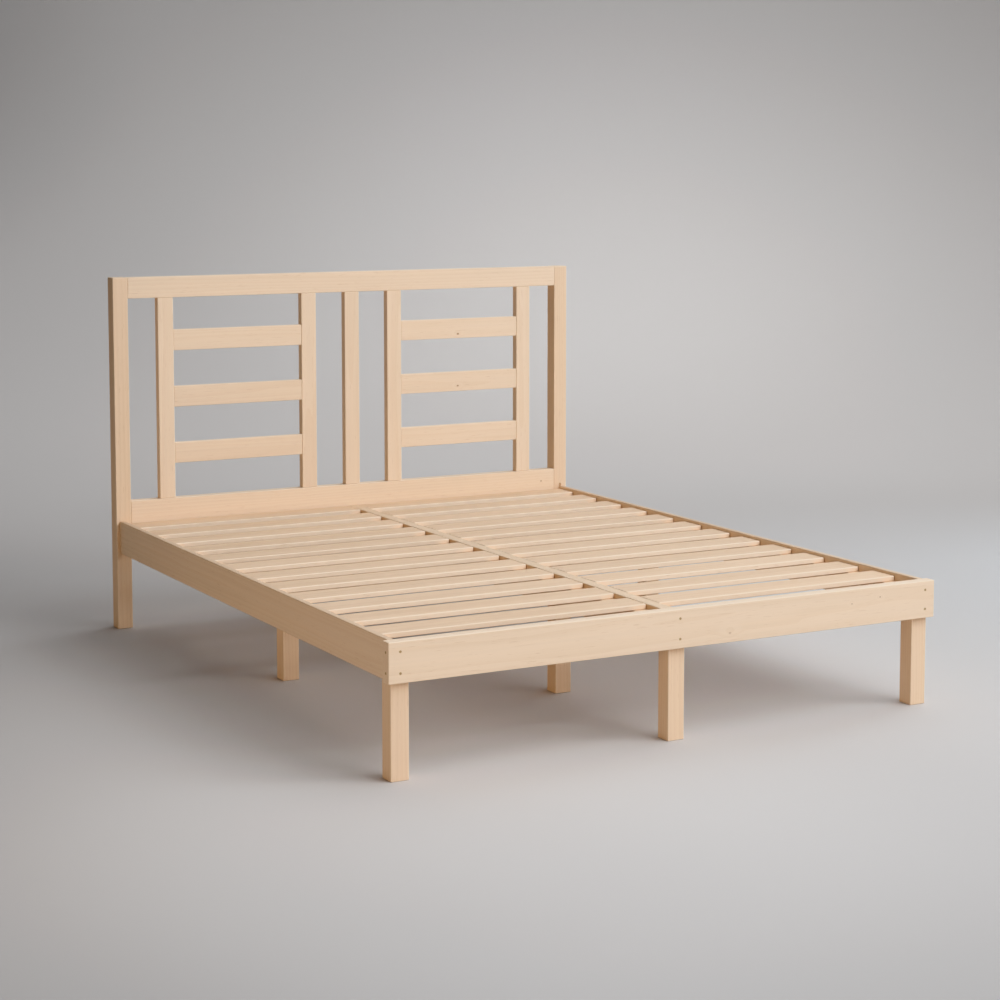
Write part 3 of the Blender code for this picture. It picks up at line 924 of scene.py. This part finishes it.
@dataclass
class CountersunkScrews:
    """Countersunk wood screws with a cross recess, let into the boards."""

    head_radius: float = 0.0037
    head_depth: float = 0.0024
    shank_radius: float = 0.0012
    sunk: float = 0.0003
    seat_depth: float = 0.0042
    rim: float = 0.0003
    recess_length: float = 0.0044
    recess_width: float = 0.0010
    recess_depth: float = 0.0010
    sides: int = 24
    seed: int = 5

    def cut_seats(self, board: Object, sites: list[ScrewSite]) -> None:
        """Cuts a countersink at each place in a board, with cones that stand a little proud of its face.

        Args:
            board: the board, still with sharp edges.
            sites: the screws' places on it.
        """
        proud = 0.0005
        shape = bmesh.new()
        for site in sites:
            cone = bmesh.ops.create_cone(
                shape, cap_ends=True, segments=self.sides, radius1=self.shank_radius,
                radius2=self.head_radius + self.sunk + proud, depth=self.seat_depth + proud)["verts"]
            bmesh.ops.translate(shape, verts=cone, vec=(0, 0, (proud - self.seat_depth) / 2))
            turn = Vector(site.facing).to_track_quat("Z", "Y").to_matrix().to_4x4()
            bmesh.ops.transform(shape, verts=cone, matrix=turn)
            bmesh.ops.translate(shape, verts=cone, vec=site.place)
        carve(board, shape, "countersinks")

    def head(self) -> Object:
        """Makes one screw's head, with its face at the origin and looking up.

        Returns:
            The head, cut by its cross recess.
        """
        profile = [(self.shank_radius, -self.head_depth), (self.head_radius, -self.rim),
                   (self.head_radius, 0.0), (self.head_radius - self.rim, self.rim / 2), (0.0, self.rim)]
        shape, rings = turned(profile, self.sides)
        shape.faces.new(rings[0][::-1])
        head = new_object("screw_head", plain_mesh(shape, "screw_head"))
        slots = bmesh.new()
        for size in ((self.recess_length, self.recess_width), (self.recess_width, self.recess_length)):
            bar = bmesh.ops.create_cube(slots, size=1)["verts"]
            bmesh.ops.scale(slots, verts=bar, vec=(*size, 2 * self.recess_depth))
        carve(head, slots, "recess", crossing=True)
        return head

    def tree(self) -> NodeTree:
        """Makes the tree that puts a head at each point, turned to its facing.

        Returns:
            The tree, with the points, the head, how deep it is sunk and the finish as inputs.
        """
        screws = NodeTree("screws_at_points", {
            "Places": "NodeSocketGeometry",
            "Head": "NodeSocketObject",
            "Sunk": "NodeSocketFloat",
            "Seed": "NodeSocketInt",
            "Finish": "NodeSocketMaterial",
        })
        add, read = screws.add, screws.read
        facing = add("GeometryNodeInputNamedAttribute", {"Name": FACING}, data_type="FLOAT_VECTOR")
        inwards = add("ShaderNodeMath", {0: read("Sunk"), 1: -1.0}, operation="MULTIPLY")
        sink = add("ShaderNodeVectorMath", {0: facing, "Scale": inwards}, operation="SCALE")
        points = add("GeometryNodeSetPosition", {"Geometry": read("Places"), "Offset": sink})
        upright = add("FunctionNodeAlignRotationToVector", {"Vector": facing}, axis="Z")
        angle = add("FunctionNodeRandomValue", {3: math.tau, "Seed": read("Seed")},
                    out=1, data_type="FLOAT")
        spin = add("ShaderNodeCombineXYZ", {"Z": angle})
        spun = add("FunctionNodeRotateRotation", {0: upright, 1: spin}, rotation_space="LOCAL")
        head = add("GeometryNodeObjectInfo", {"Object": read("Head"), "As Instance": True},
                   out="Geometry")
        placed = add("GeometryNodeInstanceOnPoints", {
            "Points": points, "Instance": head, "Rotation": spun})
        screws.close(placed)
        return screws

    def build(self, name: str, sites: list[ScrewSite]) -> Object:
        """Puts a screw at each place.

        Args:
            name: the piece's name.
            sites: where the screws go.

        Returns:
            One object with all the screws.
        """
        mesh = bpy.data.meshes.new(name)
        mesh.from_pydata([site.place for site in sites], [], [])
        ways = [value for site in sites for value in site.facing]
        mesh.attributes.new(FACING, "FLOAT_VECTOR", "POINT").data.foreach_set("vector", ways)
        head = self.head()
        item = self.tree().run(new_object(name, mesh), {
            "Head": head,
            "Sunk": self.sunk,
            "Seed": self.seed,
            "Finish": SCREW.material(),
        })
        bpy.data.objects.remove(head)
        place_piece(item, SCREW, [])
        return item


# The bed

@dataclass
class Headboard:
    """Two posts, two rails, five stiles and two panels of three slats."""

    posts: tuple[str, ...] = ("head_post_left", "head_post_right")
    rails: tuple[str, ...] = ("head_top_rail", "head_lower_rail")
    stiles: tuple[str, ...] = ("head_stile_outer_left", "head_stile_inner_left", "head_stile_centre",
                               "head_stile_inner_right", "head_stile_outer_right")
    slats_in_panel: int = 3

    def build(self, joinery: Joinery) -> None:
        """Builds and dresses the headboard.

        Args:
            joinery: what shapes and dresses boards.
        """
        for name in self.posts:
            joinery.board(name, WARM, Cut.RIFT)
        for name in self.rails:
            joinery.board(name, PLANED, Cut.RIFT)
        for name in self.stiles:
            joinery.board(name, PLANED)
        for seed, panel in enumerate(("left", "right")):
            nodes = [f"head_slat_{panel}_{number}" for number in range(1, self.slats_in_panel + 1)]
            BoardRow(f"head_slats_{panel}", nodes, seed).build(joinery, PLANED)


@dataclass
class RailsAndBeam:
    """The foot rail, the side rails and the centre beam."""

    foot_edge_radius: float = 0.0015
    screw_inset: float = 0.032
    screw_spread: float = 0.027
    end_screw_heights: tuple[float, ...] = (-0.027, 0.025)
    rails: tuple[str, ...] = ("side_rail_left", "side_rail_right")
    beam: str = "centre_beam"

    def screw_sites(self) -> list[ScrewSite]:
        """The places of the foot rail's screws: six on its face and two on each end.

        Returns:
            The sites, from left to right.
        """
        low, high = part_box("foot_rail")
        middle = (low + high) / 2
        sites = []
        for x in (low.x + self.screw_inset, middle.x, high.x - self.screw_inset):
            for rise in (-self.screw_spread, self.screw_spread):
                sites.append(ScrewSite((x, low.y, middle.z + rise), (0, -1, 0)))
        for x, way in ((low.x, -1), (high.x, 1)):
            for rise in self.end_screw_heights:
                sites.append(ScrewSite((x, middle.y, middle.z + rise), (way, 0, 0)))
        return sites

    def build(self, joinery: Joinery) -> list[ScrewSite]:
        """Builds and dresses the rails, and cuts the seats of the foot rail's screws.

        Args:
            joinery: what shapes and dresses boards.

        Returns:
            The screws' places.
        """
        sites = self.screw_sites()
        foot = merged_copy(joinery.nodes["foot_rail"], "foot_rail_wood")
        joinery.screws.cut_seats(foot, sites)
        ease_edges(foot, self.foot_edge_radius)
        joinery.dress(foot, ["foot_rail"], PLANED, Cut.FLAT)
        # The side rails take painted shade on their tops, bottoms and rounded edges.
        for name in self.rails:
            joinery.board(name, RAIL, bared=Axis.UPRIGHT)
        joinery.board(self.beam, CORE)
        return sites


@dataclass
class SlattedBase:
    """Two fields of slats, the ledgers under their ends and the bearer under their middle."""

    slats_in_field: int = 12
    ledgers: tuple[str, ...] = ("side_ledger_left", "side_ledger_right",
                                "beam_ledger_left", "beam_ledger_right")
    screws_in_ledger: int = 8
    screw_end_gap: float = 0.110
    slat_edge_radius: float = 0.0016

    def ledger_sites(self, name: str) -> list[ScrewSite]:
        """The screws that hold one ledger, on the face that looks away from its rail.

        Args:
            name: the ledger's CAD node.

        Returns:
            The sites, from the foot to the head.
        """
        low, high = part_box(name)
        inwards = -1 if name.endswith("right") else 1
        way = inwards if name.startswith("side") else -inwards
        x = high.x if way > 0 else low.x
        first, last = low.y + self.screw_end_gap, high.y - self.screw_end_gap
        step = (last - first) / (self.screws_in_ledger - 1)
        height = (low.z + high.z) / 2
        return [ScrewSite((x, first + n * step, height), (way, 0, 0))
                for n in range(self.screws_in_ledger)]

    def build(self, joinery: Joinery) -> list[ScrewSite]:
        """Builds and dresses the slats, ledgers and bearer.

        Args:
            joinery: what shapes and dresses boards.

        Returns:
            The places of the ledgers' screws.
        """
        for seed, side in enumerate(("left", "right"), start=11):
            nodes = [f"bed_slat_{side}_{number:02d}" for number in range(1, self.slats_in_field + 1)]
            # Their front and back faces take the painted highlight.
            row = BoardRow(f"bed_slats_{side}", nodes, seed, wander=(0.0008, 0.0006, 0.0),
                           edge_radius=self.slat_edge_radius, bared=Axis.ALONG_BED)
            row.build(joinery, SLAT)
        sites = []
        for name in self.ledgers:
            here = self.ledger_sites(name)
            batten = merged_copy(joinery.nodes[name], name + "_wood")
            joinery.screws.cut_seats(batten, here)
            ease_edges(batten, joinery.edge_radius)
            joinery.dress(batten, [name], SLAT, Cut.RIFT)
            sites += here
        joinery.board("cross_bearer", SLAT)
        return sites


@dataclass
class Legs:
    """The six square legs under the base."""

    names: tuple[str, ...] = ("foot_leg_left", "foot_leg_right", "foot_leg_centre",
                              "support_leg_left", "support_leg_right", "support_leg_centre")

    def build(self, joinery: Joinery) -> None:
        """Builds and dresses the legs."""
        for name in self.names:
            joinery.board(name, WARM, Cut.RIFT)


@dataclass
class BedBolts:
    """The bolts and barrel nuts at the head posts, which keep their CAD shape."""

    names: tuple[str, ...] = ("bed_bolt_left", "bed_bolt_right",
                              "barrel_nut_left", "barrel_nut_right")

    def build(self, joinery: Joinery) -> None:
        """Gives the fasteners their finish.

        Args:
            joinery: what holds the CAD nodes.
        """
        for name in self.names:
            set_finish(joinery.nodes[name].data, BOLT)
            log.info("%s: CAD shape, %s", name, BOLT.slot)


# The studio

@dataclass(frozen=True)
class Softbox:
    """A soft square lamp that looks at a point.

    Args:
        name: its name.
        place: where it hangs.
        aim: the point that it looks at.
        size: the length of its side.
        power: its power in watts.
        colour: its colour, or nothing for the studio's daylight.
        spread: the angle that its grid lets out, in degrees.
    """

    name: str
    place: Point
    aim: Point
    size: float
    power: float
    colour: str = ""
    spread: float = 180.0

    def build(self, daylight: str) -> Object:
        """Hangs the lamp.

        Args:
            daylight: the studio's daylight.

        Returns:
            The lamp's object.
        """
        lamp = bpy.data.lights.new(self.name, "AREA")
        lamp.shape = "SQUARE"
        lamp.size = self.size
        lamp.energy = self.power
        lamp.color = linear(self.colour or daylight)[:3]
        lamp.spread = math.radians(self.spread)
        item = hang(lamp, self.place, Vector(self.aim) - Vector(self.place))
        item.visible_camera = False
        return item


@dataclass(frozen=True)
class SkyGlow:
    """A broad soft glow in one part of the studio's ceiling.

    Args:
        azimuth: degrees round from the foot end, towards +X.
        elevation: degrees above the floor.
        tightness: how fast the glow falls off to its sides.
        strength: its brightness in the middle.
    """

    azimuth: float
    elevation: float
    tightness: float
    strength: float

    def brightness(self, add: partial, look: NodeSocket) -> NodeSocket:
        """Adds the glow's nodes to the world's tree.

        Args:
            add: add_node for the world's tree.
            look: the direction that is asked for.

        Returns:
            The socket with the glow's brightness in that direction.
        """
        turn, rise = math.radians(self.azimuth), math.radians(self.elevation)
        way = (math.sin(turn) * math.cos(rise), -math.cos(turn) * math.cos(rise), math.sin(rise))
        facing = add("ShaderNodeVectorMath", {0: look, 1: way}, out=1, operation="DOT_PRODUCT")
        above = add("ShaderNodeMath", {0: facing, 1: 0.0}, operation="MAXIMUM")
        glow = add("ShaderNodeMath", {0: above, 1: self.tightness}, operation="POWER")
        return add("ShaderNodeMath", {0: glow, 1: self.strength}, operation="MULTIPLY")


@dataclass
class Studio:
    """A round paper sweep, shallow as a dish, with soft lamps and a ceiling that glows to the right."""

    floor_radius: float = 4.6
    sweep_radius: float = 6.0
    steepest: float = 70.0
    sides: int = 128
    bend_steps: int = 24
    daylight: str = "#EFF7FF"
    glows: tuple[SkyGlow, ...] = (SkyGlow(120.0, 40.0, 6.0, 0.790), SkyGlow(100.0, 60.0, 6.0, 1.233))
    paper: PaperBackdropFinish = PaperBackdropFinish()
    lamps: tuple[Softbox, ...] = (
        Softbox("key_softbox", (3.72, -10.22, 5.07), (0.0, 0.0, 0.3), 4.3, 438.0),
        Softbox("right_key_softbox", (7.30, -6.58, 6.88), (0.0, 0.0, 0.3), 4.3, 328.0),
        Softbox("right_near_softbox", (1.8, -2.6, 3.6), (0.4, -0.8, 0.2), 2.5, 48.0),
        Softbox("near_softbox", (0.0, -3.4, 3.4), (-0.3, -1.2, 0.1), 2.5, 41.0),
        Softbox("right_low_softbox", (5.5, 0.4, 1.0), (0.3, -0.2, 0.0), 1.6, 14.0, "#CBE7FF", 60.0),
        Softbox("ceiling_softbox", (0.0, -0.21, 6.0), (0.0, 0.0, 0.3), 5.0, 27.0),
        Softbox("left_fill_softbox", (-4.2, -2.2, 0.95), (-0.8, -0.4, 0.3), 1.7, 4.5, "#FFE1BE", 60.0),
        Softbox("left_low_softbox", (-3.6, 1.2, 0.42), (-0.8, 0.3, 0.3), 0.7, 0.45, "#FFDDB0", 60.0),
        Softbox("right_backdrop_softbox", (4.5, 2.5, 4.5), (3.5, 9.0, 1.0), 3.0, 86.0),
        Softbox("low_backdrop_softbox", (2.2, 3.5, 3.6), (3.4, 8.6, 1.5), 2.0, 33.0),
        Softbox("gridded_backdrop_softbox", (2.4, 2.0, 4.6), (4.6, 7.6, 1.2), 2.0, 15.0, spread=60.0),
    )

    def ceiling(self) -> bpy.types.World:
        """Makes the world from its glows.

        Returns:
            The world.
        """
        world = bpy.data.worlds.new("studio_ceiling")
        world.use_nodes = True
        add = partial(add_node, world.node_tree)
        look = add("ShaderNodeTexCoord", out="Generated")
        total = None
        for glow in self.glows:
            light = glow.brightness(add, look)
            total = light if total is None else add("ShaderNodeMath", {0: total, 1: light})
        set_inputs(world.node_tree.nodes["Background"],
                   {"Color": linear(self.daylight), "Strength": total})
        return world

    def sweep(self) -> Object:
        """Makes the floor, which curves up all round.

        Returns:
            The sweep's object.
        """
        steps = range(self.bend_steps, -1, -1)
        bends = [math.radians(step * self.steepest / self.bend_steps) for step in steps]
        profile = [(self.floor_radius + self.sweep_radius * math.sin(b),
                    self.sweep_radius * (1 - math.cos(b))) for b in bends]
        profile += [(self.floor_radius / 2, 0.0), (0.0, 0.0)]
        shape, _ = turned(profile, self.sides)
        mesh = plain_mesh(shape, "paper_sweep")
        mesh.shade_smooth()
        mesh.materials.append(self.paper.material())
        return new_object("paper_sweep", mesh)

    def build(self) -> None:
        """Makes the sweep, the glow and the lamps."""
        self.sweep()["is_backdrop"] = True
        bpy.context.scene.world = self.ceiling()
        for lamp in self.lamps:
            lamp.build(self.daylight)
        settings = bpy.context.scene.view_settings
        settings.view_transform = "Khronos PBR Neutral"
        settings.look = "None"


@dataclass(frozen=True)
class PhotoCamera:
    """The camera of the photograph, worked out from the frame's corners in it."""

    place: Point = (-3.0959, -5.7634, 1.5143)
    turned_right: float = 28.484
    tipped_down: float = 5.5
    lens: float = 79.08
    sensor: float = 36.0
    shift_up: float = -0.1283

    def build(self) -> None:
        """Sets the scene's camera."""
        turn, tip = math.radians(self.turned_right), math.radians(self.tipped_down)
        ahead = Vector((math.sin(turn) * math.cos(tip), math.cos(turn) * math.cos(tip), -math.sin(tip)))
        camera = bpy.data.cameras.new("photo_camera")
        camera.sensor_width = self.sensor
        camera.lens = self.lens
        camera.shift_y = self.shift_up
        bpy.context.scene.camera = hang(camera, self.place, ahead)


def corners(box: tuple[Vector, Vector]) -> list[list[float]]:
    """A box's two corners as plain lists."""
    return [list(corner) for corner in box]


def main() -> None:
    """Builds the whole scene in order."""
    logging.basicConfig(level=logging.INFO, format="%(message)s")
    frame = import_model()
    cad_box = corners(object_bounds())

    joinery = Joinery(frame["nodes"], boards_in_a_row(), CountersunkScrews())
    Headboard().build(joinery)
    sites = RailsAndBeam().build(joinery)
    sites += SlattedBase().build(joinery)
    Legs().build(joinery)
    BedBolts().build(joinery)
    joinery.screws.build("wood_screws", sites)
    Studio().build()
    PhotoCamera().build()
    {"cad": cad_box, "visual": corners(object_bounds())}


if __name__ == "__main__":
    main()
